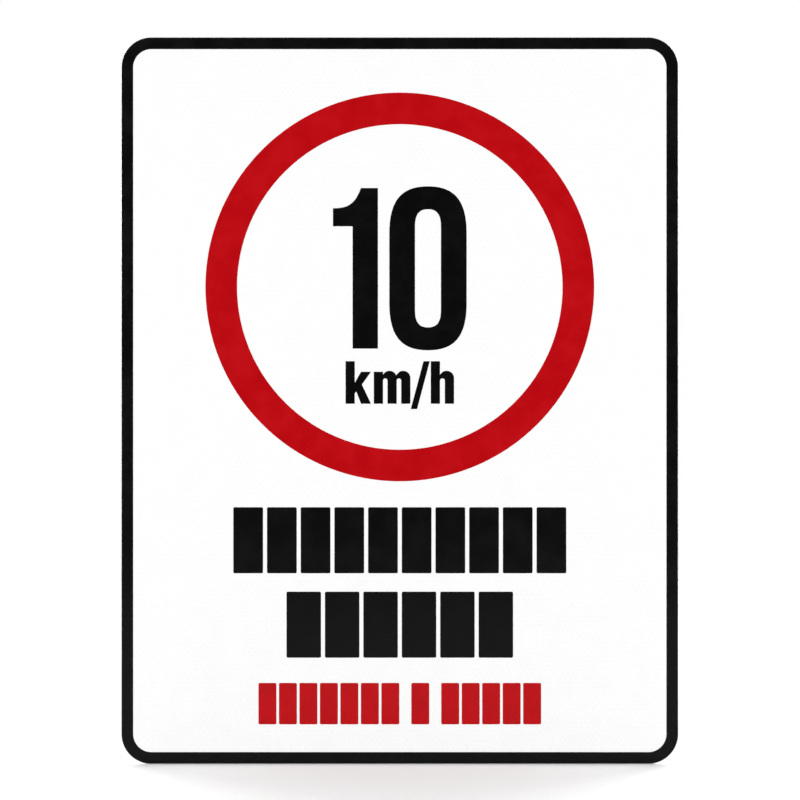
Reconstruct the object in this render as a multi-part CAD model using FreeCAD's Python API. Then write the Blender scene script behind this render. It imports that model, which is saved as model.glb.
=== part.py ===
import FreeCAD, Part
import math
import os

# A speed limit sign: a flat aluminium plate, white reflective sheeting over its front, and graphics cut
# from thin film on the sheeting. The graphics are a border, a ring, the numerals 1 and 0, the unit km/h and
# three rows of plain blocks. Lengths are in millimetres. The front looks along -Y, +Z is up, and the origin
# is the middle of the plate's back face.

# Plate
plate_width = 460.0
plate_height = 600.0
plate_thickness = 2.0
corner_radius = 25.0
rim_rounding = 0.3

# Sheeting and film. Each layer ends a little inside the one under it
sheet_thickness = 0.2
sheet_margin = 0.1
film_thickness = 0.1
film_margin = 0.1

# Border and ring. The ring clears the numerals and the unit, which sit a little below its middle
border_width = 9.5
ring_width = 26.1
ring_top_gap = 35.8
legend_clearance = 28.0
legend_drop = 7.4

# Numerals
numeral_height = 132.5
numeral_gap = 9.4
one_stem = 20.9
one_flag_reach = 16.2
one_flag_depth = 14.9
one_flag_drop = 16.7
one_tip_inset = 6.9
zero_width = 63.8
zero_overshoot = 1.4
zero_side_wall = 21.2
zero_end_wall = 18.9
zero_outer_bowl = 38.9
zero_inner_bowl = 14.1

# Unit letters, measured up from their base line
unit_gap = 10.4
unit_ascender = 35.1
unit_x_height = 26.4
unit_stroke = 7.6
k_diagonal = 8.2
k_reach = 13.4
k_arm_foot = 17.4
k_leg_top = 10.2
k_leg_inset = 1.2
k_leg_notch = 1.7
k_crotch = 15.8
k_crotch_inset = 7.5
m_counter = 3.7
h_counter = 4.0
arch_rise = 0.8
arch_notch = 23.3
arch_notch_inset = 0.7
arch_shoulder = 21.1
counter_top = 20.9
slash_thickness = 5.2
slash_reach = 10.5
slash_drop = 4.4
k_to_m_gap = 2.3
m_to_slash_gap = 0.3
slash_to_h_gap = 0.8

# Rows of blocks. The heights and gaps down to the border share out the space under the ring
upper_top_gap = 21.4
lower_top_gap = 15.2
note_top_gap = 20.8
foot_gap = 22.9
block_height = 54.5
block_gap = 3.3
block_corner = 1.2
upper_counts = (10,)
upper_block_width = 24.5
lower_counts = (6,)
lower_block_width = 28.4
note_counts = (7, 1, 5)
note_height = 34.2
note_block_width = 14.8
note_block_gap = 2.1
note_group_gap = 9.9

# How far a curve's handles reach, as shares of the curve's own width and height
zero_outer_pull = (0.65, 0.74)
zero_inner_pull = (0.55, 0.81)
shoulder_pull = (0.36, 0.73)
notch_pull = (0.32, 0.44)
crown_pull = 0.60
flag_tip_pull = (0.21, 0.78)
flag_end_pull = 0.55

# Places across the layers, along Y
sheet_back = -plate_thickness
film_back = sheet_back - sheet_thickness
sheet_setback = rim_rounding + sheet_margin
border_setback = sheet_setback + film_margin
frame_width = border_setback + border_width

# The unit's letters stand side by side, and the stack of numerals and unit gives the ring its size
k_width = unit_stroke + k_reach
m_width = 3 * unit_stroke + 2 * m_counter
h_width = 2 * unit_stroke + h_counter
slash_width = slash_reach + slash_thickness
unit_width = k_width + k_to_m_gap + m_width + m_to_slash_gap + slash_width + slash_to_h_gap + h_width
legend_height = numeral_height + unit_gap + unit_ascender
legend_depth = legend_height / 2 + legend_drop
ring_inner_radius = math.hypot(unit_width / 2, legend_depth) + legend_clearance
ring_outer_radius = ring_inner_radius + ring_width

# Heights of the graphics, from the middle of the plate
border_inside = plate_height / 2 - frame_width
ring_middle = border_inside - ring_top_gap - ring_outer_radius
ring_foot = ring_middle - ring_outer_radius
unit_base = ring_middle - legend_depth
numeral_base = unit_base + unit_ascender + unit_gap
row_gaps = upper_top_gap + lower_top_gap + note_top_gap + foot_gap
row_stretch = (ring_foot + border_inside) / (row_gaps + 2 * block_height + note_height)


def point(x, z, y=film_back):
    """A point at x across and z up, on the film's back unless y says otherwise."""
    return FreeCAD.Vector(x, y, z)


def curved_edge(poles):
    """A smooth edge that starts and ends at the outer poles and is pulled by the inner ones."""
    curve = Part.BezierCurve()
    curve.setPoles(poles)
    return curve.toShape()


def film(start, *steps):
    """A piece of film inside a closed outline. A step of one point is straight, one of three is a bend."""
    edges = []
    here = start
    for step in steps:
        poles = [point(x, z) for x, z in (here, *step)]
        edges.append(Part.makeLine(*poles) if len(poles) == 2 else curved_edge(poles))
        here = step[-1]
    return Part.Face(Part.Wire(edges)).extrude(FreeCAD.Vector(0, -film_thickness, 0))


def polygon_film(points):
    """A piece of film with straight edges."""
    return film(points[-1], *([corner] for corner in points))


def film_bar(left, foot, right, top):
    """A rectangle of film."""
    return polygon_film([(left, foot), (right, foot), (right, top), (left, top)])


def film_disc(radius, x, z):
    """A disc of film about a middle at x and z."""
    return Part.makeCylinder(radius, film_thickness, point(x, z), FreeCAD.Vector(0, -1, 0))


def joined(*pieces):
    """One solid from overlapping pieces of film, without the lines between them."""
    return pieces[0].fuse(list(pieces[1:])).removeSplitter()


def rounded_slab(width, height, radius, back, thickness, middle=(0, 0)):
    """A flat slab with round corners, its back at y = back."""
    corner = point(middle[0] - width / 2, middle[1] - height / 2, back - thickness)
    slab = Part.makeBox(width, thickness, height, corner)
    corners = [edge for edge in slab.Edges if edge.BoundBox.YLength > thickness / 2]
    return slab.makeFillet(radius, corners)


def sign_plate():
    """The blank, with its front and back rims rounded."""
    slab = rounded_slab(plate_width, plate_height, corner_radius, 0, plate_thickness)
    rims = [edge for edge in slab.Edges if edge.BoundBox.YLength < plate_thickness / 2]
    return slab.makeFillet(rim_rounding, rims)


def inset_slab(inset, back, thickness):
    """A slab with the plate's outline, drawn in by inset."""
    width = plate_width - 2 * inset
    height = plate_height - 2 * inset
    return rounded_slab(width, height, corner_radius - inset, back, thickness)


def face_sheet():
    """The white sheeting."""
    return inset_slab(sheet_setback, sheet_back, sheet_thickness)


def border_band():
    """The border, its inner corners about the same centres as its outer ones."""
    field = inset_slab(frame_width, film_back, film_thickness)
    return inset_slab(border_setback, film_back, film_thickness).cut(field)


def ring_band():
    """The ring round the numerals and the unit."""
    return film_disc(ring_outer_radius, 0, ring_middle).cut(film_disc(ring_inner_radius, 0, ring_middle))


def numeral_one(left):
    """The one: a straight stem with a hooked flag at its top left."""
    stem = left + one_flag_reach
    right = stem + one_stem
    tip = stem + one_tip_inset
    top = numeral_base + numeral_height
    flag_top = top - one_flag_drop
    flag_foot = flag_top - one_flag_depth
    tip_handle = (tip - flag_tip_pull[0] * (tip - left), top - flag_tip_pull[1] * one_flag_drop)
    end_handle = (left + flag_end_pull * (tip - left), flag_top)
    return film(
        (stem, numeral_base),
        [(right, numeral_base)],
        [(right, top)],
        [(tip, top)],
        [tip_handle, end_handle, (left, flag_top)],
        [(left, flag_foot)],
        [(stem, flag_foot)],
        [(stem, numeral_base)],
    )


def round_ended_film(middle, foot, width, height, bowl, pull):
    """An upright bar whose two ends are bowls, each of two curves that meet at the crown."""
    left = middle - width / 2
    right = middle + width / 2
    across = pull[0] * width / 2
    along = pull[1] * bowl
    top = foot + height
    low = foot + bowl
    high = top - bowl
    return film(
        (right, low),
        [(right, high)],
        [(right, high + along), (middle + across, top), (middle, top)],
        [(middle - across, top), (left, high + along), (left, high)],
        [(left, low)],
        [(left, low - along), (middle - across, foot), (middle, foot)],
        [(middle + across, foot), (right, low - along), (right, low)],
    )


def numeral_zero(left):
    """The zero: a tall bowl-ended bar with a narrow counter."""
    middle = left + zero_width / 2
    foot = numeral_base - zero_overshoot
    height = numeral_height + 2 * zero_overshoot
    outer = round_ended_film(middle, foot, zero_width, height, zero_outer_bowl, zero_outer_pull)
    width = zero_width - 2 * zero_side_wall
    inner_foot = foot + zero_end_wall
    inner_height = height - 2 * zero_end_wall
    counter = round_ended_film(middle, inner_foot, width, inner_height, zero_inner_bowl, zero_inner_pull)
    return outer.cut(counter)


def unit_k(left):
    """The k: a stem, an arm and a leg."""
    stem = left + unit_stroke
    right = left + k_width
    inner = right - k_diagonal
    points = [
        (left, 0),
        (stem, 0),
        (stem, k_leg_top - k_leg_notch),
        (stem + k_leg_inset, k_leg_top),
        (inner, 0),
        (right, 0),
        (right - k_crotch_inset, k_crotch),
        (right, unit_x_height),
        (inner, unit_x_height),
        (stem, k_arm_foot),
        (stem, unit_ascender),
        (left, unit_ascender),
    ]
    return polygon_film([(x, unit_base + z) for x, z in points])


def arch(start, counter):
    """A limb to the right of a stem that ends at start: a crown, a round shoulder and a straight leg."""
    left = start - arch_notch_inset
    right = start + counter + unit_stroke
    crown = (left + right) / 2
    notch = unit_base + arch_notch
    top = unit_base + unit_x_height + arch_rise
    shoulder = unit_base + arch_shoulder
    rise = top - notch
    fall = top - shoulder
    half = crown - left
    notch_handle = (left + notch_pull[0] * half, notch + notch_pull[1] * rise)
    shoulder_handle = (right, shoulder + shoulder_pull[1] * fall)
    return film(
        (left, unit_base),
        [(right, unit_base)],
        [(right, shoulder)],
        [shoulder_handle, (crown + shoulder_pull[0] * half, top), (crown, top)],
        [(crown - crown_pull * half, top), notch_handle, (left, notch)],
        [(left, unit_base)],
    )


def arch_hollow(start, counter):
    """The round-topped space under an arch."""
    radius = counter / 2
    spring = unit_base + counter_top - radius
    bar = film_bar(start, unit_base, start + counter, spring)
    return bar.fuse(film_disc(radius, start + radius, spring))


def unit_m(left):
    """The m: a stem and two arches."""
    first = left + unit_stroke
    second = first + m_counter + unit_stroke
    letter = joined(
        film_bar(left, unit_base, first, unit_base + unit_x_height),
        arch(first, m_counter),
        arch(second, m_counter),
    )
    return letter.cut(arch_hollow(first, m_counter)).cut(arch_hollow(second, m_counter)).removeSplitter()


def unit_slash(left):
    """The slanted stroke, as tall as the ascenders and dropping below the base line."""
    foot = unit_base - slash_drop
    top = unit_base + unit_ascender
    upper = left + slash_reach
    return polygon_film(
        [(left, foot), (left + slash_thickness, foot), (upper + slash_thickness, top), (upper, top)]
    )


def unit_h(left):
    """The h: a tall stem and one arch."""
    start = left + unit_stroke
    stem = film_bar(left, unit_base, start, unit_base + unit_ascender)
    return joined(stem, arch(start, h_counter)).cut(arch_hollow(start, h_counter)).removeSplitter()


def legend():
    """The numerals and the unit's letters by name, each row of them centred in the ring."""
    one_width = one_flag_reach + one_stem
    one_left = -(one_width + numeral_gap + zero_width) / 2
    zero_left = one_left + one_width + numeral_gap
    k_left = -unit_width / 2
    m_left = k_left + k_width + k_to_m_gap
    slash_left = m_left + m_width + m_to_slash_gap
    h_left = slash_left + slash_width + slash_to_h_gap
    return {
        "numeral_one": numeral_one(one_left),
        "numeral_zero": numeral_zero(zero_left),
        "unit_k": unit_k(k_left),
        "unit_m": unit_m(m_left),
        "unit_slash": unit_slash(slash_left),
        "unit_h": unit_h(h_left),
    }


def block_row(name, counts, width, height, foot, gap):
    """A centred row of equal blocks, in groups of the given counts."""
    steps = sum(counts) - 1
    group_gaps = len(counts) - 1
    left = -(width * (steps + 1) + gap * (steps - group_gaps) + note_group_gap * group_gaps) / 2
    row = {}
    for count in counts:
        for _ in range(count):
            middle = (left + width / 2, foot + height / 2)
            block = rounded_slab(width, height, block_corner, film_back, film_thickness, middle)
            row[f"{name}_{len(row) + 1:02d}"] = block
            left += width + gap
        left += note_group_gap - gap
    return row


def block_rows():
    """The three rows of blocks, from the ring down."""
    blocks = {}
    foot = ring_foot
    for name, top_gap, height, counts, width, gap in (
        ("upper_block", upper_top_gap, block_height, upper_counts, upper_block_width, block_gap),
        ("lower_block", lower_top_gap, block_height, lower_counts, lower_block_width, block_gap),
        ("note_block", note_top_gap, note_height, note_counts, note_block_width, note_block_gap),
    ):
        foot -= (top_gap + height) * row_stretch
        blocks.update(block_row(name, counts, width, height * row_stretch, foot, gap))
    return blocks


def main():
    os.makedirs("parts", exist_ok=True)
    nodes = {
        "sign_plate": sign_plate(),
        "face_sheet": face_sheet(),
        "border_band": border_band(),
        "ring_band": ring_band(),
        **legend(),
        **block_rows(),
    }
    for name, shape in nodes.items():
        shape.exportStep(f"parts/{name}.step")
    print(f"{len(nodes)} nodes, ring {2 * ring_outer_radius:.2f} mm across, rows x {row_stretch:.4f}")


main()
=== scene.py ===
"""A speed limit sign: an aluminium plate with white reflective sheeting and graphics of cut film.

The plate and the sheeting are the frame's own solids with better surfaces. The border, the ring and the rows
of blocks are made by Geometry Nodes at the frame's sizes, and the numerals and the unit are welded copies of
the frame's, all with a knife-cut edge. Lengths are in metres, the front looks along -Y, and +Z is up.
"""

import bmesh
import bpy
import math
from bpy.props import (
    CollectionProperty,
    EnumProperty,
    FloatProperty,
    FloatVectorProperty,
    IntProperty,
    PointerProperty,
)
from mathutils import Matrix, Vector


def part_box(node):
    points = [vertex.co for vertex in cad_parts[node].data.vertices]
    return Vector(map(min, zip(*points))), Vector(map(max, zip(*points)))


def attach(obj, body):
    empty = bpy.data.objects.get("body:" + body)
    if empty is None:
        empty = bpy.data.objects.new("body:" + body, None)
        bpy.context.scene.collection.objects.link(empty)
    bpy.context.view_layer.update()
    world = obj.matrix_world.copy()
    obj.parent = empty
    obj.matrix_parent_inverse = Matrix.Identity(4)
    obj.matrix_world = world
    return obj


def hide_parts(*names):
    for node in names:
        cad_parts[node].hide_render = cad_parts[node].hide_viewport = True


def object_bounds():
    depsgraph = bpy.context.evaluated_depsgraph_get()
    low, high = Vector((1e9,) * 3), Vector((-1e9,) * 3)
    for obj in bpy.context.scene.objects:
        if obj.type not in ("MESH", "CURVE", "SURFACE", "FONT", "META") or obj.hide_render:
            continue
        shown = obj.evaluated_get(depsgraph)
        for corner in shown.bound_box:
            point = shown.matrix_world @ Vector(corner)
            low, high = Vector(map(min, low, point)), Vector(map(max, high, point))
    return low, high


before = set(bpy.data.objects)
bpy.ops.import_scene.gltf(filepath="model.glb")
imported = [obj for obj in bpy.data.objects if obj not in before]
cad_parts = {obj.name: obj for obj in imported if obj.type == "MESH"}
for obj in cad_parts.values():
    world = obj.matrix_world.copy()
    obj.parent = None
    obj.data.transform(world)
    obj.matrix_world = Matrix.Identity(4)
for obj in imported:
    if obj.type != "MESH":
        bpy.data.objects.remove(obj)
cad_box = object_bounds()

bl_info = {
    "name": "Speed limit sign",
    "version": (1, 0, 0),
    "blender": (4, 5, 0),
    "location": "3D View > Sidebar > Speed sign",
    "description": "Dresses a sign plate with reflective sheeting and cut film, and sets up its stage",
    "category": "Object",
}

MM = 0.001
ROOT_3 = math.sqrt(3)
ZERO_TO_ONE = (0.0, 1.0)
ONE_TO_ZERO = (1.0, 0.0)
WHITE_LIGHT = (1.0, 1.0, 1.0)

# The kinds of socket that node groups take their lengths and counts from
LENGTH = "NodeSocketFloat"
COUNT = "NodeSocketInt"

# The frame's names for its body, its films and the nodes cut from them
BODY = "root"
BLACK = "film_black"
RED = "film_red"
LEGEND = ("numeral_one", "numeral_zero", "unit_k", "unit_m", "unit_slash", "unit_h")
ROWS = {"upper_block": BLACK, "lower_block": BLACK, "note_block": RED}

# A space this many times a row's narrowest one is a break between two groups of blocks
BREAK_TIMES = 1.5

# Mottle of film and sheeting: the size of its spots, the span of its noise, and how far it tints film
MOTTLE_SIZE = 24 * MM
MOTTLE_NOISE = (0.3, 0.7)
FILM_TINT = 0.06

# How rough each finish is, from one end of its mottle or tone to the other
FILM_ROUGHNESS = (0.18, 0.24)
SHEETING_ROUGHNESS = (0.26, 0.34)
ALUMINIUM_ROUGHNESS = (0.42, 0.32)

# Beads: how far from its middle, in bead sizes, a bead turns to shade, and the beads' share in the tone
BEAD_REACH = (0.15, 0.65)
BEAD_SHARE = 0.6

# Aluminium's tone: the shares of its lines, bands and clouds, and the span of their sum
LINE_SHARE = 0.45
BAND_SHARE = 0.35
CLOUD_SHARE = 0.2
TONE_NOISE = (0.35, 0.65)

# Bands are this many times as large as lines, and clouds have a size of their own
BAND_TIMES_LINE = 9
CLOUD_SIZE = 60 * MM

# The filed rim: its marks, and how much a face looks along Y where the rim ends and the flat begins
FILE_MARK_WIDTH = 0.2 * MM
FILE_MARK_LENGTH = 40 * MM
RIM_TO_FLAT = (0.5, 0.95)

# Points closer than a weld are one, and faces that turn by less than the flat turn are one
WELD = 0.001 * MM
FLAT_TURN = math.radians(0.1)

# The knife's edges lie this near the plane of the film's front, and turn by more than this
NEAR_FRONT = 0.01 * MM
CUT_TURN = math.radians(60)

# A film's face is flat where it looks this much along Y, and elsewhere it is shaded smooth
FLAT_NORMAL = 0.999

# Steps round each corner of a block
BLOCK_CORNER_STEPS = 8

# The picture's side, and the size and the middle of the border in it
PICTURE_SIDE_PX = 800
BORDER_WIDE_PX = 556.15
BORDER_HIGH_PX = 726.22
SIGN_MIDDLE_PX = (399.80, 400.62)

# The floor, and the shares of its radius between which it fades out
FLOOR_RADIUS = 2.6
FLOOR_STEPS = 96
FLOOR_FADE = (0.35, 0.95)

# The sky's strength by how far up it is, and what it adds by how far behind the sign it is
SKY_HEIGHTS = (0.1, 1.0)
SKY_STRENGTHS = (0.03, 0.9)
BEHIND_DEPTHS = (0.0, 0.8)
BEHIND_STRENGTHS = (0.0, 0.6)

# The softboxes: where the right one of each pair stands, and how wide each is
FRONT_BOX_PLACE = (2.1, -2.4, 0.4)
FRONT_BOX_SIDE = 1.2
BACK_BOX_PLACE = (1.6, 1.9, 1.2)
BACK_BOX_SIDE = 1.3


def width_of(node):
    """A node's width along X."""
    low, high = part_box(node)
    return high.x - low.x


def height_of(node):
    """A node's height along Z."""
    low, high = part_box(node)
    return high.z - low.z


def place_of(node):
    """The middle of a node's back, which lies on what is under it."""
    low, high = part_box(node)
    return Vector(((low.x + high.x) / 2, high.y, (low.z + high.z) / 2))


class PlateSettings(bpy.types.PropertyGroup):
    """The bare aluminium of the plate's back and rim."""

    dark: FloatVectorProperty(
        name="Dark tone",
        description="Colour of the duller bands of the rolled sheet",
        subtype="COLOR",
        default=(0.66, 0.67, 0.68),
        min=0.0,
        max=1.0,
    )
    light: FloatVectorProperty(
        name="Light tone",
        description="Colour of the brighter bands of the rolled sheet",
        subtype="COLOR",
        default=(0.80, 0.81, 0.82),
        min=0.0,
        max=1.0,
    )
    rim: FloatVectorProperty(
        name="Rim tone",
        description="Colour of the freshly filed rim",
        subtype="COLOR",
        default=(0.88, 0.885, 0.89),
        min=0.0,
        max=1.0,
    )
    line_width: FloatProperty(
        name="Line width",
        description="Width of the widest rolling lines",
        unit="LENGTH",
        default=2.5 * MM,
        min=0.1 * MM,
    )
    line_length: FloatProperty(
        name="Line length",
        description="Length of the rolling lines, which run up the plate",
        unit="LENGTH",
        default=180 * MM,
        min=1 * MM,
    )
    line_depth: FloatProperty(
        name="Line depth",
        description="Depth of the rolling lines and of the marks on the rim",
        unit="LENGTH",
        default=0.004 * MM,
        min=0.0,
        precision=6,
    )
    wave_size: FloatProperty(
        name="Wave size",
        description="Distance from one slow wave of the sheet to the next",
        unit="LENGTH",
        default=170 * MM,
        min=10 * MM,
    )
    wave_depth: FloatProperty(
        name="Wave depth",
        description="How far the sheet's slow waves leave a true plane",
        unit="LENGTH",
        default=0.25 * MM,
        min=0.0,
        precision=5,
    )


class SheetingSettings(bpy.types.PropertyGroup):
    """The white reflective sheeting over the front."""

    white: FloatVectorProperty(
        name="White",
        description="Colour of the sheeting over its glass beads",
        subtype="COLOR",
        default=(0.93, 0.93, 0.925),
        min=0.0,
        max=1.0,
    )
    shade: FloatVectorProperty(
        name="Shade",
        description="Colour of the sheeting between its glass beads",
        subtype="COLOR",
        default=(0.86, 0.865, 0.865),
        min=0.0,
        max=1.0,
    )
    bead_size: FloatProperty(
        name="Bead size",
        description="Distance from one glass bead to the next",
        unit="LENGTH",
        default=0.12 * MM,
        min=0.02 * MM,
        precision=5,
    )
    cell_size: FloatProperty(
        name="Cell size",
        description="Distance from one six-sided cell to the next",
        unit="LENGTH",
        default=4.2 * MM,
        min=0.5 * MM,
        precision=4,
    )
    wall_width: FloatProperty(
        name="Wall width",
        description="Width of the sealed wall between two cells",
        unit="LENGTH",
        default=0.7 * MM,
        min=0.05 * MM,
        precision=5,
    )
    wall_depth: FloatProperty(
        name="Wall depth",
        description="How far the sealed walls sink below the cells",
        unit="LENGTH",
        default=0.012 * MM,
        min=0.0,
        precision=6,
    )
    ripple_size: FloatProperty(
        name="Ripple size",
        description="Distance from one ripple of the clear face to the next",
        unit="LENGTH",
        default=3.5 * MM,
        min=0.1 * MM,
        precision=4,
    )
    ripple_depth: FloatProperty(
        name="Ripple depth",
        description="Depth of the clear face's ripple",
        unit="LENGTH",
        default=0.004 * MM,
        min=0.0,
        precision=6,
    )


class FilmSettings(bpy.types.PropertyGroup):
    """The black and red film and its cut edge."""

    black: FloatVectorProperty(
        name="Black",
        description="Colour of the black film",
        subtype="COLOR",
        default=(0.0014, 0.0014, 0.0015),
        min=0.0,
        max=1.0,
    )
    red: FloatVectorProperty(
        name="Red",
        description="Colour of the red film",
        subtype="COLOR",
        default=(0.447, 0.001, 0.0038),
        min=0.0,
        max=1.0,
    )
    ripple_size: FloatProperty(
        name="Ripple size",
        description="Distance from one ripple of the film to the next",
        unit="LENGTH",
        default=2.2 * MM,
        min=0.1 * MM,
        precision=4,
    )
    ripple_depth: FloatProperty(
        name="Ripple depth",
        description="Depth of the film's ripple",
        unit="LENGTH",
        default=0.005 * MM,
        min=0.0,
        precision=6,
    )
    show_through: FloatProperty(
        name="Cells showing through",
        description="How far the film follows the sheeting's walls down",
        unit="LENGTH",
        default=0.005 * MM,
        min=0.0,
        precision=6,
    )
    edge_softness: FloatProperty(
        name="Cut edge",
        description="How far the knife rounds over the film's front edge",
        unit="LENGTH",
        default=0.03 * MM,
        min=0.0,
        max=0.05 * MM,
        precision=6,
    )


class BorderSettings(bpy.types.PropertyGroup):
    """The black border."""

    width: FloatProperty(
        name="Border width",
        description="Width of the border's band",
        unit="LENGTH",
        default=9.5 * MM,
        min=1 * MM,
    )
    corner: FloatProperty(
        name="Border corner",
        description="Radius of the border's outer corners",
        unit="LENGTH",
        default=24.5 * MM,
        min=10 * MM,
    )
    corner_steps: IntProperty(
        name="Corner steps",
        description="Steps round each corner of the border",
        default=24,
        min=2,
        max=90,
    )


class RingSettings(bpy.types.PropertyGroup):
    """The red ring."""

    width: FloatProperty(
        name="Ring width",
        description="Width of the ring's band",
        unit="LENGTH",
        default=26.1 * MM,
        min=1 * MM,
    )
    steps: IntProperty(
        name="Ring steps",
        description="Steps round the ring",
        default=360,
        min=24,
        max=1440,
    )


class RowSettings(bpy.types.PropertyGroup):
    """One row of blocks, named for the frame's nodes that it stands for."""

    blocks: IntProperty(
        name="Blocks",
        description="How many blocks the row has",
        default=10,
        min=1,
    )
    block_width: FloatProperty(
        name="Block width",
        description="Width of each block",
        unit="LENGTH",
        default=24.5 * MM,
        min=1 * MM,
    )
    block_height: FloatProperty(
        name="Block height",
        description="Height of each block",
        unit="LENGTH",
        default=54.5 * MM,
        min=1 * MM,
    )
    corner: FloatProperty(
        name="Block corner",
        description="Radius of each block's corners",
        unit="LENGTH",
        default=1.2 * MM,
        min=0.05 * MM,
    )
    gap: FloatProperty(
        name="Gap",
        description="Space from one block to the next",
        unit="LENGTH",
        default=3.3 * MM,
        min=0.0,
    )
    wide_gap: FloatProperty(
        name="Wide space",
        description="Space where the row has a break",
        unit="LENGTH",
        default=9.9 * MM,
        min=0.0,
    )
    first_break: IntProperty(
        name="First break",
        description="How many blocks come before the first wide space",
        default=10,
        min=0,
    )
    second_break: IntProperty(
        name="Second break",
        description="How many blocks come before the second wide space",
        default=10,
        min=0,
    )
    slot: EnumProperty(
        name="Film",
        description="Film that the row is cut from",
        items=[(BLACK, "Black", "Black film"), (RED, "Red", "Red film")],
        default=BLACK,
    )


class StageSettings(bpy.types.PropertyGroup):
    """The floor, the lights and the camera."""

    lens: FloatProperty(
        name="Lens",
        description="Focal length of the camera",
        unit="CAMERA",
        default=100.0,
        min=20.0,
    )
    backdrop: FloatVectorProperty(
        name="Backdrop",
        description="Colour behind the sign",
        subtype="COLOR",
        default=(1.0, 1.0, 1.0),
        min=0.0,
        max=1.0,
    )
    floor: FloatVectorProperty(
        name="Floor",
        description="Colour of the floor",
        subtype="COLOR",
        default=(0.94, 0.94, 0.937),
        min=0.0,
        max=1.0,
    )
    floor_bounce: FloatVectorProperty(
        name="Floor bounce",
        description="Colour of the light that the floor sends back to the sign",
        subtype="COLOR",
        default=(0.25, 0.25, 0.25),
        min=0.0,
        max=1.0,
    )
    front_light: FloatProperty(
        name="Front lights",
        description="Power of each of the two front softboxes",
        unit="POWER",
        default=61.4,
        min=0.0,
    )
    back_light: FloatProperty(
        name="Back lights",
        description="Power of each of the two back softboxes",
        unit="POWER",
        default=36.0,
        min=0.0,
    )


def socket_of(sockets, key):
    """The socket in use with that name, or at that number."""
    if isinstance(key, int):
        return sockets[key]
    return next(socket for socket in sockets if socket.enabled and socket.name == key)


def feed(tree, socket, value):
    """Links an input to another node's output, or sets it to a value."""
    if isinstance(value, bpy.types.NodeSocket):
        tree.links.new(value, socket)
    else:
        socket.default_value = value


def add_node(tree, kind, inputs=(), **settings):
    """A node with its settings made and its inputs fed."""
    node = tree.nodes.new(kind)
    for name, value in settings.items():
        setattr(node, name, value)
    for key, value in dict(inputs).items():
        feed(tree, socket_of(node.inputs, key), value)
    return node


def output(node, key=0):
    """One of a node's outputs."""
    return socket_of(node.outputs, key)


def number_of(tree, operation, first, second):
    """A number worked out from two others."""
    return output(add_node(tree, "ShaderNodeMath", {0: first, 1: second}, operation=operation))


def sum_of(tree, first, second):
    """Two numbers added."""
    return number_of(tree, "ADD", first, second)


def difference_of(tree, first, second):
    """The second number taken from the first."""
    return number_of(tree, "SUBTRACT", first, second)


def product_of(tree, first, second):
    """Two numbers multiplied."""
    return number_of(tree, "MULTIPLY", first, second)


def weighted_sum(tree, *terms):
    """Numbers added, each times its weight."""
    total = product_of(tree, *terms[0])
    for value, weight in terms[1:]:
        total = sum_of(tree, total, product_of(tree, value, weight))
    return total


def vector_of(tree, operation, *values):
    """A vector worked out from others, or a number where that is what comes of it."""
    node = add_node(tree, "ShaderNodeVectorMath", dict(enumerate(values)), operation=operation)
    return next(socket for socket in node.outputs if socket.enabled)


def part_of(tree, vector, axis):
    """A vector's number along one axis."""
    return output(add_node(tree, "ShaderNodeSeparateXYZ", {0: vector}), axis)


def eased(tree, value, span, ends=ZERO_TO_ONE):
    """A value's place in a span, eased, as a number from one end to the other."""
    inputs = {
        "Value": value,
        "From Min": span[0],
        "From Max": span[1],
        "To Min": ends[0],
        "To Max": ends[1],
    }
    return output(add_node(tree, "ShaderNodeMapRange", inputs, interpolation_type="SMOOTHSTEP"))


def colour_of(value):
    """A colour with its alpha, or the output that it comes from."""
    return value if isinstance(value, bpy.types.NodeSocket) else (*value, 1.0)


def blend_of(tree, share, first, second):
    """One colour turning into another."""
    inputs = {"Factor": share, "A": colour_of(first), "B": colour_of(second)}
    return output(add_node(tree, "ShaderNodeMix", inputs, data_type="RGBA"), "Result")


def noise_of_size(tree, vector, size, detail=2.0, roughness=0.5):
    """Noise whose widest spots are one size across."""
    scale = number_of(tree, "DIVIDE", 1.0, size)
    inputs = {"Vector": vector, "Scale": scale, "Detail": detail, "Roughness": roughness}
    return output(add_node(tree, "ShaderNodeTexNoise", inputs), "Fac")


def drawn_out_noise(tree, vector, lengths, detail=2.0, roughness=0.5):
    """Noise whose widest spots have a length of their own along each axis."""
    scale = [1 / length for length in lengths]
    counted = output(add_node(tree, "ShaderNodeMapping", {"Vector": vector, "Scale": scale}))
    return noise_of_size(tree, counted, 1.0, detail, roughness)


def new_tree(name, kind, inputs, outputs):
    """A node group with its sockets, and its own input and output nodes."""
    tree = bpy.data.node_groups.new(name, kind)
    for label, socket_kind in inputs.items():
        tree.interface.new_socket(label, in_out="INPUT", socket_type=socket_kind)
    for label, socket_kind in outputs.items():
        tree.interface.new_socket(label, in_out="OUTPUT", socket_type=socket_kind)
    return tree, tree.nodes.new("NodeGroupInput").outputs, tree.nodes.new("NodeGroupOutput").inputs


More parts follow.
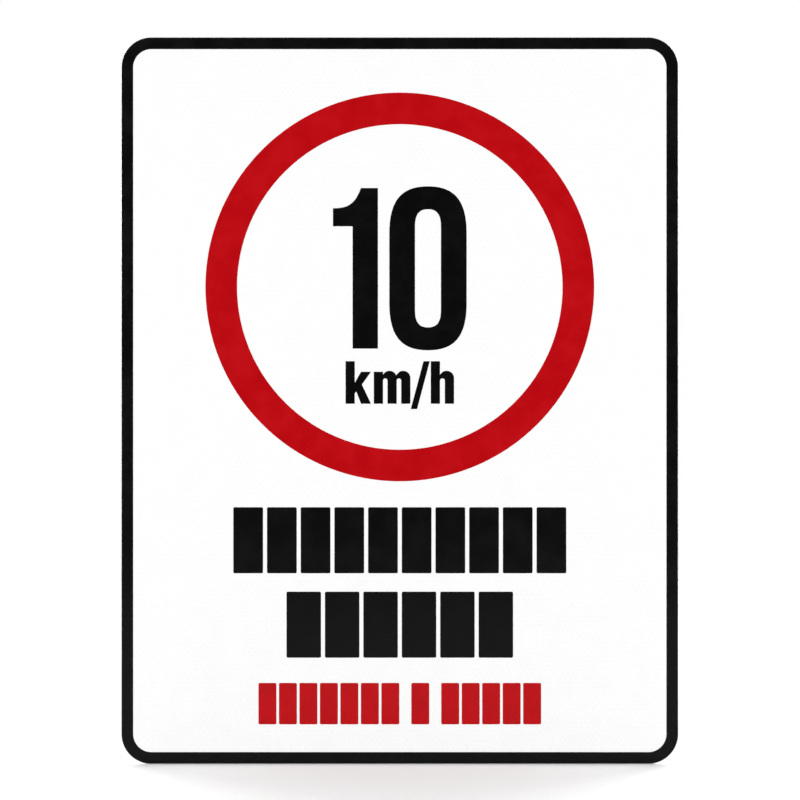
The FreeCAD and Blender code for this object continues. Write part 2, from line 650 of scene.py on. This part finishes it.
def honeycomb(tree, vector, size, wall):
    """The walls of a field of six-sided cells: one in the middle of a wall, and none inside a cell.

    The cells' middles make two grids, half a step apart, and a point is in the cell of the nearer middle.
    """
    grid = {"X": size, "Y": 1.0, "Z": product_of(tree, size, ROOT_3)}
    step = output(add_node(tree, "ShaderNodeCombineXYZ", grid))
    flat = vector_of(tree, "MULTIPLY", vector, (1.0, 0.0, 1.0))
    steps = vector_of(tree, "DIVIDE", flat, step)
    offsets = []
    for shift in (0.0, 0.5):
        within = vector_of(tree, "FRACTION", vector_of(tree, "ADD", steps, (shift, 0.0, shift)))
        centred = vector_of(tree, "SUBTRACT", within, (0.5, 0.0, 0.5))
        offsets.append(vector_of(tree, "MULTIPLY", centred, (1.0, 0.0, ROOT_3)))
    first, second = (vector_of(tree, "LENGTH", offset) for offset in offsets)
    second_nearer = number_of(tree, "LESS_THAN", second, first)
    choice = {"Factor": second_nearer, "A": offsets[0], "B": offsets[1]}
    offset = output(add_node(tree, "ShaderNodeMix", choice, data_type="VECTOR"), "Result")
    # Each quarter of a cell has a wall that looks along X and one that looks 60 degrees up from X
    folded = vector_of(tree, "ABSOLUTE", offset)
    slanted = vector_of(tree, "DOT_PRODUCT", folded, (0.5, 0.0, ROOT_3 / 2))
    reach = number_of(tree, "MAXIMUM", slanted, part_of(tree, folded, "X"))
    from_wall = product_of(tree, difference_of(tree, 0.5, reach), size)
    return eased(tree, from_wall, (0.0, product_of(tree, wall, 0.5)), ONE_TO_ZERO)


def stuck_surface_group():
    """The surface that sheeting and film share: ripple, slow waves, the cells' sunken walls and a mottle."""
    name = "Stuck film surface"
    if name in bpy.data.node_groups:
        return bpy.data.node_groups[name]
    inputs = {
        "Vector": "NodeSocketVector",
        "Ripple Size": LENGTH,
        "Ripple Depth": LENGTH,
        "Wave Size": LENGTH,
        "Wave Depth": LENGTH,
        "Cell Size": LENGTH,
        "Wall Width": LENGTH,
        "Wall Depth": LENGTH,
        "Mottle Size": LENGTH,
    }
    outputs = {"Height": "NodeSocketFloat", "Mottle": "NodeSocketFloat", "Wall": "NodeSocketFloat"}
    tree, given, made = new_tree(name, "ShaderNodeTree", inputs, outputs)
    vector = given["Vector"]
    ripple = noise_of_size(tree, vector, given["Ripple Size"], detail=0.0)
    wave = noise_of_size(tree, vector, given["Wave Size"], detail=0.0)
    mottle = noise_of_size(tree, vector, given["Mottle Size"], detail=4.0, roughness=0.65)
    wall = honeycomb(tree, vector, given["Cell Size"], given["Wall Width"])
    down = product_of(tree, given["Wall Depth"], -1.0)
    height = weighted_sum(tree, (ripple, given["Ripple Depth"]), (wave, given["Wave Depth"]), (wall, down))
    tree.links.new(height, made["Height"])
    tree.links.new(eased(tree, mottle, MOTTLE_NOISE), made["Mottle"])
    tree.links.new(wall, made["Wall"])
    return tree


def stuck_surface(tree, vector, ripple_size, ripple_depth, wall_depth):
    """The outputs of the shared surface at one material's sizes, over the plate's own waves."""
    plate = bpy.context.scene.sign_plate
    sheeting = bpy.context.scene.sign_sheeting
    inputs = {
        "Vector": vector,
        "Ripple Size": ripple_size,
        "Ripple Depth": ripple_depth,
        "Wave Size": plate.wave_size,
        "Wave Depth": plate.wave_depth,
        "Cell Size": sheeting.cell_size,
        "Wall Width": sheeting.wall_width,
        "Wall Depth": wall_depth,
        "Mottle Size": MOTTLE_SIZE,
    }
    return add_node(tree, "ShaderNodeGroup", inputs, node_tree=stuck_surface_group()).outputs


def new_material(name):
    """A material with its tree, its shader and the node of the piece's own coordinates."""
    material = bpy.data.materials.new(name)
    material.use_nodes = True
    tree = material.node_tree
    shader = tree.nodes["Principled BSDF"]
    place = add_node(tree, "ShaderNodeTexCoord")
    return material, tree, shader, place


def set_shader(tree, shader, **inputs):
    """Feeds a shader's inputs, with spaces for the underscores in their names."""
    for key, value in inputs.items():
        feed(tree, shader.inputs[key.replace("_", " ")], value)


def bump_of(tree, height):
    """A normal from a height in metres."""
    return output(add_node(tree, "ShaderNodeBump", {"Strength": 1.0, "Distance": 1.0, "Height": height}))


def film_material(slot):
    """Cast film with a soft gloss, in the colour of its slot."""
    name = f"cut_{slot}"
    if name in bpy.data.materials:
        return bpy.data.materials[name]
    film = bpy.context.scene.sign_film
    colour = Vector(film.red if slot == RED else film.black)
    material, tree, shader, place = new_material(name)
    vector = output(place, "Object")
    surface = stuck_surface(tree, vector, film.ripple_size, film.ripple_depth, film.show_through)
    set_shader(
        tree,
        shader,
        Base_Color=blend_of(tree, surface["Mottle"], colour * (1 - FILM_TINT), colour * (1 + FILM_TINT)),
        Roughness=eased(tree, surface["Mottle"], ZERO_TO_ONE, FILM_ROUGHNESS),
        Normal=bump_of(tree, surface["Height"]),
        IOR=1.42,
    )
    return material


def sheeting_material():
    """White sheeting: glass beads in six-sided cells under a clear face."""
    sheeting = bpy.context.scene.sign_sheeting
    material, tree, shader, place = new_material("white_sheeting")
    vector = output(place, "Object")
    surface = stuck_surface(tree, vector, sheeting.ripple_size, sheeting.ripple_depth, sheeting.wall_depth)
    bead_inputs = {"Vector": vector, "Scale": 1 / sheeting.bead_size}
    from_bead = output(add_node(tree, "ShaderNodeTexVoronoi", bead_inputs), "Distance")
    beads = eased(tree, from_bead, BEAD_REACH)
    tone = weighted_sum(tree, (beads, BEAD_SHARE), (surface["Mottle"], 1 - BEAD_SHARE))
    inside = difference_of(tree, 1.0, surface["Wall"])
    set_shader(
        tree,
        shader,
        Base_Color=blend_of(tree, product_of(tree, tone, inside), sheeting.white, sheeting.shade),
        Roughness=eased(tree, surface["Mottle"], ZERO_TO_ONE, SHEETING_ROUGHNESS),
        Normal=bump_of(tree, surface["Height"]),
        IOR=1.49,
        Coat_Weight=0.25,
        Coat_Roughness=0.12,
    )
    return material


def aluminium_material():
    """Mill-finish aluminium: lines and bands along the rolling direction, and a brighter filed rim."""
    plate = bpy.context.scene.sign_plate
    material, tree, shader, place = new_material("mill_finish_aluminium")
    vector = output(place, "Object")
    line = (plate.line_width, plate.line_width, plate.line_length)
    band = [BAND_TIMES_LINE * length for length in line]
    mark = (FILE_MARK_LENGTH, FILE_MARK_WIDTH, FILE_MARK_LENGTH)
    lines = drawn_out_noise(tree, vector, line, detail=6.0, roughness=0.7)
    bands = drawn_out_noise(tree, vector, band)
    marks = drawn_out_noise(tree, vector, mark, detail=3.0)
    clouds = noise_of_size(tree, vector, CLOUD_SIZE, detail=4.0, roughness=0.6)
    waves = noise_of_size(tree, vector, plate.wave_size, detail=0.0)
    mixed = weighted_sum(tree, (lines, LINE_SHARE), (bands, BAND_SHARE), (clouds, CLOUD_SHARE))
    tone = eased(tree, mixed, TONE_NOISE)
    facing = part_of(tree, vector_of(tree, "ABSOLUTE", output(place, "Normal")), "Y")
    rim = eased(tree, facing, RIM_TO_FLAT, ONE_TO_ZERO)
    filed = product_of(tree, marks, rim)
    depths = ((lines, plate.line_depth), (waves, plate.wave_depth), (filed, plate.line_depth))
    set_shader(
        tree,
        shader,
        Base_Color=blend_of(tree, rim, blend_of(tree, tone, plate.dark, plate.light), plate.rim),
        Roughness=eased(tree, tone, ZERO_TO_ONE, ALUMINIUM_ROUGHNESS),
        Normal=bump_of(tree, weighted_sum(tree, *depths)),
        Metallic=1.0,
    )
    return material


def film_tree(name, sizes):
    """A Geometry Nodes tree for film, with its own sizes and those of all film, and nothing made yet."""
    inputs = {
        **sizes,
        "Thickness": LENGTH,
        "Back": LENGTH,
        "Middle": LENGTH,
        "Material": "NodeSocketMaterial",
    }
    return new_tree(name, "GeometryNodeTree", inputs, {"Geometry": "NodeSocketGeometry"})


def finish_tree(tree, geometry, given, made):
    """Stands flat film up to face -Y at its place, and ends its tree with real geometry in its material."""
    facing = {"Geometry": geometry, "Rotation": (math.pi / 2, 0.0, 0.0)}
    turned = output(add_node(tree, "GeometryNodeTransform", facing))
    place = output(add_node(tree, "ShaderNodeCombineXYZ", {"Y": given["Back"], "Z": given["Middle"]}))
    placed = output(add_node(tree, "GeometryNodeTransform", {"Geometry": turned, "Translation": place}))
    real = output(add_node(tree, "GeometryNodeRealizeInstances", {"Geometry": placed}))
    coat = {"Geometry": real, "Material": given["Material"]}
    tree.links.new(output(add_node(tree, "GeometryNodeSetMaterial", coat)), made["Geometry"])


def swept_band(tree, line, given):
    """A flat band of film along a closed line, its back at zero."""
    section = {"Width": given["Band Width"], "Height": given["Thickness"]}
    profile = output(add_node(tree, "GeometryNodeCurvePrimitiveQuadrilateral", section))
    band = output(add_node(tree, "GeometryNodeCurveToMesh", {"Curve": line, "Profile Curve": profile}))
    lift = output(add_node(tree, "ShaderNodeCombineXYZ", {"Z": product_of(tree, given["Thickness"], 0.5)}))
    return output(add_node(tree, "GeometryNodeTransform", {"Geometry": band, "Translation": lift}))


def ring_tree():
    """Geometry Nodes for a ring of film."""
    sizes = {"Outer Radius": LENGTH, "Band Width": LENGTH, "Steps": COUNT}
    tree, given, made = film_tree("Film ring", sizes)
    half = product_of(tree, given["Band Width"], 0.5)
    circle = {"Resolution": given["Steps"], "Radius": difference_of(tree, given["Outer Radius"], half)}
    line = output(add_node(tree, "GeometryNodeCurvePrimitiveCircle", circle), "Curve")
    finish_tree(tree, swept_band(tree, line, given), given, made)
    return tree


def border_tree():
    """Geometry Nodes for a border of film with round corners."""
    sizes = {
        "Width": LENGTH,
        "Height": LENGTH,
        "Corner Radius": LENGTH,
        "Band Width": LENGTH,
        "Steps": COUNT,
    }
    tree, given, made = film_tree("Film border", sizes)
    sides = {name: difference_of(tree, given[name], given["Band Width"]) for name in ("Width", "Height")}
    square = output(add_node(tree, "GeometryNodeCurvePrimitiveQuadrilateral", sides))
    half = product_of(tree, given["Band Width"], 0.5)
    corners = {
        "Curve": square,
        "Count": given["Steps"],
        "Radius": difference_of(tree, given["Corner Radius"], half),
    }
    line = output(add_node(tree, "GeometryNodeFilletCurve", corners, mode="POLY"))
    finish_tree(tree, swept_band(tree, line, given), given, made)
    return tree


def block_of(tree, given):
    """One flat block of film about its middle, its back at zero."""
    sides = {"Width": given["Block Width"], "Height": given["Block Height"]}
    square = output(add_node(tree, "GeometryNodeCurvePrimitiveQuadrilateral", sides))
    corners = {"Curve": square, "Count": BLOCK_CORNER_STEPS, "Radius": given["Corner Radius"]}
    outline = output(add_node(tree, "GeometryNodeFilletCurve", corners, mode="POLY"))
    face = output(add_node(tree, "GeometryNodeFillCurve", {"Curve": outline}, mode="NGONS"))
    up = {"Mesh": face, "Offset": (0.0, 0.0, 1.0), "Offset Scale": given["Thickness"]}
    walls = output(add_node(tree, "GeometryNodeExtrudeMesh", up))
    back = output(add_node(tree, "GeometryNodeFlipFaces", {"Mesh": face}))
    both = add_node(tree, "GeometryNodeJoinGeometry")
    tree.links.new(walls, both.inputs[0])
    tree.links.new(back, both.inputs[0])
    weld = {"Geometry": output(both), "Distance": WELD}
    return output(add_node(tree, "GeometryNodeMergeByDistance", weld))


def breaks_before(tree, number, given):
    """How many of the row's wide spaces come before a block."""
    passed = []
    for name in ("First Break", "Second Break"):
        inputs = {"A": number, "B": given[name]}
        test = add_node(tree, "FunctionNodeCompare", inputs, data_type="INT", operation="GREATER_EQUAL")
        passed.append(output(test))
    return sum_of(tree, *passed)


def along_row(tree, number, given):
    """How far a block's middle is from that of the row's first block."""
    step = sum_of(tree, given["Block Width"], given["Gap"])
    extra = difference_of(tree, given["Wide Gap"], given["Gap"])
    return weighted_sum(tree, (number, step), (breaks_before(tree, number, given), extra))


def row_tree():
    """Geometry Nodes for a centred row of blocks with up to two wide spaces."""
    sizes = {
        "Blocks": COUNT,
        "Block Width": LENGTH,
        "Block Height": LENGTH,
        "Corner Radius": LENGTH,
        "Gap": LENGTH,
        "Wide Gap": LENGTH,
        "First Break": COUNT,
        "Second Break": COUNT,
    }
    tree, given, made = film_tree("Film block row", sizes)
    index = output(add_node(tree, "GeometryNodeInputIndex"))
    last = difference_of(tree, given["Blocks"], 1.0)
    half_row = product_of(tree, along_row(tree, last, given), 0.5)
    from_middle = difference_of(tree, along_row(tree, index, given), half_row)
    place = output(add_node(tree, "ShaderNodeCombineXYZ", {"X": from_middle}))
    points = output(add_node(tree, "GeometryNodePoints", {"Count": given["Blocks"], "Position": place}))
    spread = {"Points": points, "Instance": block_of(tree, given)}
    finish_tree(tree, output(add_node(tree, "GeometryNodeInstanceOnPoints", spread)), given, made)
    return tree


def drop_empty_slots(mesh):
    """Takes out a mesh's material slots that hold nothing."""
    for number in reversed(range(len(mesh.materials))):
        if mesh.materials[number] is None:
            mesh.materials.pop(index=number)


def piece_from_tree(name, tree, values):
    """A piece whose plain mesh is what a Geometry Nodes tree makes of the values."""
    piece = bpy.data.objects.new(name, bpy.data.meshes.new(name))
    bpy.context.scene.collection.objects.link(piece)
    modifier = piece.modifiers.new(tree.name, "NODES")
    modifier.node_group = tree
    for socket in tree.interface.items_tree:
        if socket.in_out == "INPUT":
            modifier[socket.identifier] = values[socket.name]
    bpy.context.view_layer.update()
    graph = bpy.context.evaluated_depsgraph_get()
    made = bpy.data.meshes.new_from_object(piece.evaluated_get(graph), depsgraph=graph)
    piece.modifiers.remove(modifier)
    empty = piece.data
    piece.data = made
    bpy.data.meshes.remove(empty)
    if not made.polygons:
        raise RuntimeError(f"the tree of {name} made no faces")
    drop_empty_slots(made)
    made.name = name
    return piece


def copy_of_node(node, name, material):
    """A piece with a copy of a node's mesh in a material."""
    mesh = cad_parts[node].data.copy()
    mesh.name = name
    mesh.materials.clear()
    mesh.materials.append(material)
    piece = bpy.data.objects.new(name, mesh)
    bpy.context.scene.collection.objects.link(piece)
    return piece


def is_cut_edge(edge, front):
    """Whether an edge runs along the outline of the film's front."""
    on_front = all(abs(vert.co.y - front) < NEAR_FRONT for vert in edge.verts)
    return on_front and len(edge.link_faces) == 2 and edge.calc_face_angle() > CUT_TURN


def finish_cut_edge(mesh, softness):
    """Welds a film's mesh, clears the lines off its flat faces and rounds its front outline."""
    film = bmesh.new()
    film.from_mesh(mesh)
    bmesh.ops.remove_doubles(film, verts=film.verts, dist=WELD)
    bmesh.ops.dissolve_limit(film, angle_limit=FLAT_TURN, verts=film.verts, edges=film.edges)
    front = min(vert.co.y for vert in film.verts)
    outline = [edge for edge in film.edges if is_cut_edge(edge, front)]
    if softness > 0:
        shape = {"offset": softness, "segments": 2, "profile": 0.5, "affect": "EDGES", "material": -1}
        bmesh.ops.bevel(film, geom=outline, **shape)
    for face in film.faces:
        face.smooth = abs(face.normal.y) < FLAT_NORMAL
    film.to_mesh(mesh)
    film.free()


def lay_film(piece, slot, *nodes):
    """Finishes a piece of film and lets it stand for its nodes."""
    finish_cut_edge(piece.data, bpy.context.scene.sign_film.edge_softness)
    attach(piece, BODY)
    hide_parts(*nodes)


def place_values(node, slot):
    """The inputs that every tree of film has: a node's thickness and place, and its slot's material."""
    low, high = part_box(node)
    place = place_of(node)
    return {
        "Thickness": high.y - low.y,
        "Back": place.y,
        "Middle": place.z,
        "Material": film_material(slot),
    }


def dress_node(node, material):
    """Gives one of the frame's own solids its material."""
    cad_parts[node].material_slots[0].material = material


def row_nodes(prefix):
    """The frame's nodes in a row, from the left."""
    return sorted(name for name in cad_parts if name.startswith(prefix))


def read_rows(scene):
    """Fills the list of rows with the frame's own sizes."""
    scene.sign_rows.clear()
    for prefix, slot in ROWS.items():
        boxes = [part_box(node) for node in row_nodes(prefix)]
        low, high = boxes[0]
        gaps = [after[0].x - before[1].x for before, after in zip(boxes, boxes[1:])]
        breaks = [number + 1 for number, gap in enumerate(gaps) if gap > BREAK_TIMES * min(gaps)]
        row = scene.sign_rows.add()
        row.name = prefix
        row.slot = slot
        row.blocks = len(boxes)
        row.block_width = high.x - low.x
        row.block_height = high.z - low.z
        row.gap = min(gaps)
        row.wide_gap = max(gaps)
        # A row with fewer than two breaks has the rest of them after its last block
        row.first_break, row.second_break = (*breaks, len(boxes), len(boxes))[:2]


class SIGN_OT_plate(bpy.types.Operator):
    """Gives the plate its mill-finish aluminium"""

    bl_idname = "sign.plate"
    bl_label = "Plate"

    def execute(self, context):
        dress_node("sign_plate", aluminium_material())
        return {"FINISHED"}


class SIGN_OT_sheeting(bpy.types.Operator):
    """Gives the front its white reflective sheeting"""

    bl_idname = "sign.sheeting"
    bl_label = "Sheeting"

    def execute(self, context):
        dress_node("face_sheet", sheeting_material())
        return {"FINISHED"}


class SIGN_OT_border(bpy.types.Operator):
    """Cuts and lays the black border"""

    bl_idname = "sign.border"
    bl_label = "Border"

    def execute(self, context):
        border = context.scene.sign_border
        values = {
            "Width": width_of("border_band"),
            "Height": height_of("border_band"),
            "Corner Radius": border.corner,
            "Band Width": border.width,
            "Steps": border.corner_steps,
            **place_values("border_band", BLACK),
        }
        lay_film(piece_from_tree("border_film", border_tree(), values), BLACK, "border_band")
        return {"FINISHED"}


class SIGN_OT_ring(bpy.types.Operator):
    """Cuts and lays the red ring"""

    bl_idname = "sign.ring"
    bl_label = "Ring"

    def execute(self, context):
        ring = context.scene.sign_ring
        values = {
            "Outer Radius": width_of("ring_band") / 2,
            "Band Width": ring.width,
            "Steps": ring.steps,
            **place_values("ring_band", RED),
        }
        lay_film(piece_from_tree("ring_film", ring_tree(), values), RED, "ring_band")
        return {"FINISHED"}


class SIGN_OT_legend(bpy.types.Operator):
    """Cuts and lays the numerals and the unit"""

    bl_idname = "sign.legend"
    bl_label = "Numerals and unit"

    def execute(self, context):
        for node in LEGEND:
            lay_film(copy_of_node(node, f"{node}_film", film_material(BLACK)), BLACK, node)
        return {"FINISHED"}


class SIGN_OT_rows(bpy.types.Operator):
    """Cuts and lays the rows of plain blocks"""

    bl_idname = "sign.rows"
    bl_label = "Rows of blocks"

    def execute(self, context):
        tree = row_tree()
        for row in context.scene.sign_rows:
            nodes = row_nodes(row.name)
            values = {
                "Blocks": row.blocks,
                "Block Width": row.block_width,
                "Block Height": row.block_height,
                "Corner Radius": row.corner,
                "Gap": row.gap,
                "Wide Gap": row.wide_gap,
                "First Break": row.first_break,
                "Second Break": row.second_break,
                **place_values(nodes[0], row.slot),
            }
            lay_film(piece_from_tree(f"{row.name}_row", tree, values), row.slot, *nodes)
        return {"FINISHED"}


def set_camera(stage):
    """A long lens square to the sign, with the border where the picture has it."""
    across = width_of("border_band") / BORDER_WIDE_PX
    along = height_of("border_band") / BORDER_HIGH_PX
    pixel = (across + along) / 2
    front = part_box("border_band")[0].y
    middle = place_of("border_band")
    data = bpy.data.cameras.new("camera")
    data.lens = stage.lens
    distance = PICTURE_SIDE_PX * pixel * data.lens / data.sensor_width
    camera = bpy.data.objects.new("camera", data)
    camera.location = (
        middle.x + (PICTURE_SIDE_PX / 2 - SIGN_MIDDLE_PX[0]) * pixel,
        front - distance,
        middle.z + (SIGN_MIDDLE_PX[1] - PICTURE_SIDE_PX / 2) * pixel,
    )
    camera.rotation_euler = (math.pi / 2, 0.0, 0.0)
    bpy.context.scene.collection.objects.link(camera)
    bpy.context.scene.camera = camera


def set_floor(stage):
    """A round pale floor under the sign, fading out where the backdrop takes over."""
    mesh = bpy.data.meshes.new("floor")
    disc = bmesh.new()
    bmesh.ops.create_circle(disc, cap_ends=True, segments=FLOOR_STEPS, radius=FLOOR_RADIUS)
    disc.to_mesh(mesh)
    disc.free()
    mesh.transform(Matrix.Translation((0.0, 0.0, cad_box[0].z)))
    material, tree, shader, place = new_material("floor")
    away = vector_of(tree, "LENGTH", output(place, "Object"))
    fade = [share * FLOOR_RADIUS for share in FLOOR_FADE]
    seen = output(add_node(tree, "ShaderNodeLightPath"), "Is Camera Ray")
    set_shader(
        tree,
        shader,
        Base_Color=blend_of(tree, seen, stage.floor_bounce, stage.floor),
        Roughness=1.0,
        Specular_IOR_Level=0.0,
        Alpha=eased(tree, away, fade, ONE_TO_ZERO),
    )
    mesh.materials.append(material)
    floor = bpy.data.objects.new("floor", mesh)
    bpy.context.scene.collection.objects.link(floor)


def set_backdrop(stage):
    """A white backdrop for the camera, and for everything else a soft sky that is brightest overhead."""
    world = bpy.data.worlds.new("studio")
    bpy.context.scene.world = world
    world.use_nodes = True
    tree = world.node_tree
    tree.nodes.clear()
    aim = output(add_node(tree, "ShaderNodeTexCoord"), "Generated")
    ceiling = eased(tree, part_of(tree, aim, "Z"), SKY_HEIGHTS, SKY_STRENGTHS)
    behind = eased(tree, part_of(tree, aim, "Y"), BEHIND_DEPTHS, BEHIND_STRENGTHS)
    soft = {"Color": colour_of(WHITE_LIGHT), "Strength": sum_of(tree, ceiling, behind)}
    plain = {"Color": colour_of(stage.backdrop), "Strength": 1.0}
    choice = {
        0: output(add_node(tree, "ShaderNodeLightPath"), "Is Camera Ray"),
        1: output(add_node(tree, "ShaderNodeBackground", soft)),
        2: output(add_node(tree, "ShaderNodeBackground", plain)),
    }
    mixed = output(add_node(tree, "ShaderNodeMixShader", choice))
    add_node(tree, "ShaderNodeOutputWorld", {"Surface": mixed})


def set_softbox(name, hand, place, side, power):
    """A square softbox on one hand, aimed at the middle of the sign and not seen by the camera."""
    spot = Vector((hand * place[0], place[1], place[2]))
    data = bpy.data.lights.new(name, "AREA")
    data.shape = "SQUARE"
    data.size = side
    data.energy = power
    light = bpy.data.objects.new(name, data)
    light.location = spot
    light.rotation_euler = spot.to_track_quat("Z", "Y").to_euler()
    light.visible_camera = False
    bpy.context.scene.collection.objects.link(light)


class SIGN_OT_stage(bpy.types.Operator):
    """Sets up the camera, the floor, the backdrop and the softboxes"""

    bl_idname = "sign.stage"
    bl_label = "Stage"

    def execute(self, context):
        stage = context.scene.sign_stage
        context.scene.view_settings.view_transform = "Standard"
        set_camera(stage)
        set_floor(stage)
        set_backdrop(stage)
        for hand, name in ((-1, "left"), (1, "right")):
            set_softbox(f"front_{name}", hand, FRONT_BOX_PLACE, FRONT_BOX_SIDE, stage.front_light)
            set_softbox(f"back_{name}", hand, BACK_BOX_PLACE, BACK_BOX_SIDE, stage.back_light)
        return {"FINISHED"}


# Each operator and the settings that it works from, in the order of the work
STEPS = {
    SIGN_OT_plate: "sign_plate",
    SIGN_OT_sheeting: "sign_sheeting",
    SIGN_OT_border: "sign_border",
    SIGN_OT_ring: "sign_ring",
    SIGN_OT_legend: "sign_film",
    SIGN_OT_rows: "sign_rows",
    SIGN_OT_stage: "sign_stage",
}
SETTINGS = {
    "sign_plate": PlateSettings,
    "sign_sheeting": SheetingSettings,
    "sign_film": FilmSettings,
    "sign_border": BorderSettings,
    "sign_ring": RingSettings,
    "sign_stage": StageSettings,
}


class SIGN_PT_sidebar(bpy.types.Panel):
    """The sign's pieces and their settings"""

    bl_idname = "SIGN_PT_sidebar"
    bl_label = "Speed limit sign"
    bl_space_type = "VIEW_3D"
    bl_region_type = "UI"
    bl_category = "Speed sign"

    def draw(self, context):
        for operator, name in STEPS.items():
            box = self.layout.box()
            box.operator(operator.bl_idname)
            settings = getattr(context.scene, name)
            groups = settings if name == "sign_rows" else [settings]
            for group in groups:
                for setting in group.__annotations__:
                    box.prop(group, setting)


def register():
    """Registers the settings, the operators and the panel."""
    for name, settings in SETTINGS.items():
        bpy.utils.register_class(settings)
        setattr(bpy.types.Scene, name, PointerProperty(type=settings))
    bpy.utils.register_class(RowSettings)
    bpy.types.Scene.sign_rows = CollectionProperty(type=RowSettings)
    for operator in STEPS:
        bpy.utils.register_class(operator)
    bpy.utils.register_class(SIGN_PT_sidebar)


def unregister():
    """Takes everything that register() added out again."""
    bpy.utils.unregister_class(SIGN_PT_sidebar)
    for operator in reversed(STEPS):
        bpy.utils.unregister_class(operator)
    del bpy.types.Scene.sign_rows
    bpy.utils.unregister_class(RowSettings)
    for name, settings in SETTINGS.items():
        delattr(bpy.types.Scene, name)
        bpy.utils.unregister_class(settings)


def main():
    """Makes every piece and the stage."""
    register()
    read_rows(bpy.context.scene)
    bpy.ops.sign.plate()
    bpy.ops.sign.sheeting()
    bpy.ops.sign.border()
    bpy.ops.sign.ring()
    bpy.ops.sign.legend()
    bpy.ops.sign.rows()
    bpy.ops.sign.stage()


if __name__ == "__main__":
    main()
